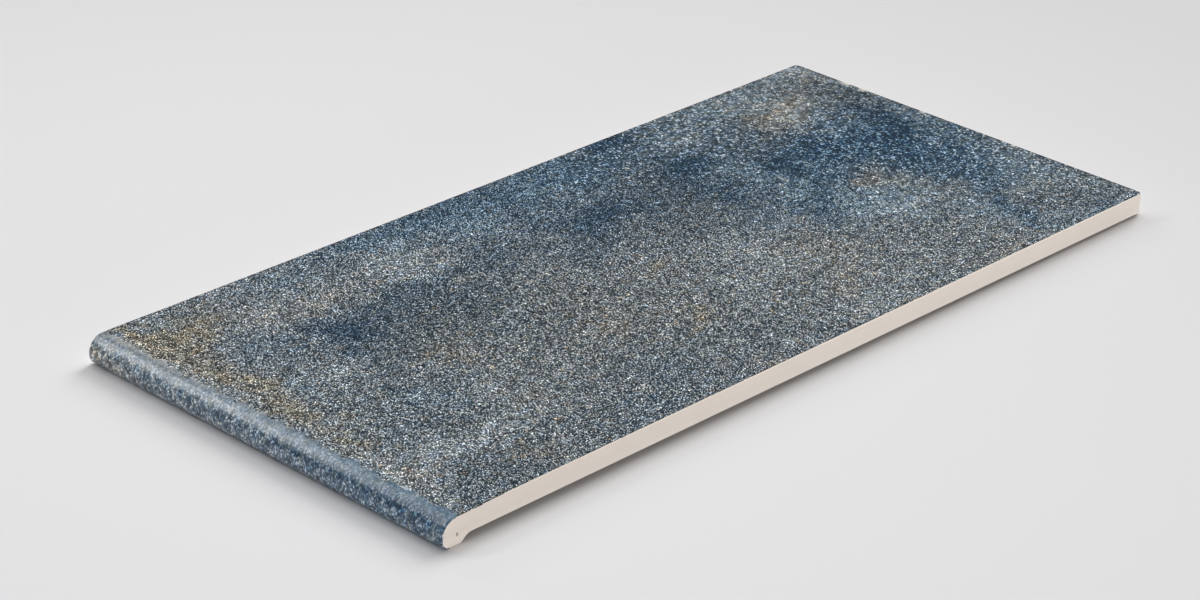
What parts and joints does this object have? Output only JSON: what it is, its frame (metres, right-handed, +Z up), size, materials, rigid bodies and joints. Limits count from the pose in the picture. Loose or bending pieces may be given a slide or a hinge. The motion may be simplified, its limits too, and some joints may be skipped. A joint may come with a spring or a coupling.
{
  "type": "pool stair tread tile",
  "caption": "Rectangular porcelain stair tread tile for a pool, flat slab with a drop bullnose and coved heel along one short side and a keyed back.",
  "frame": {"origin": "middle of the tile's width and depth, on the plane of the nose's foot, which is the lowest face", "axes": "+X across the width, +Y from the nose to the back edge along the longest side, +Z up out of the tread face"},
  "size_m": [0.31, 0.65, 0.0185],
  "materials": {
    "glazed_porcelain": "matte"
  },
  "bodies": {
    "root": {"tread_tile": "glazed_porcelain"}
  },
  "joints": []
}
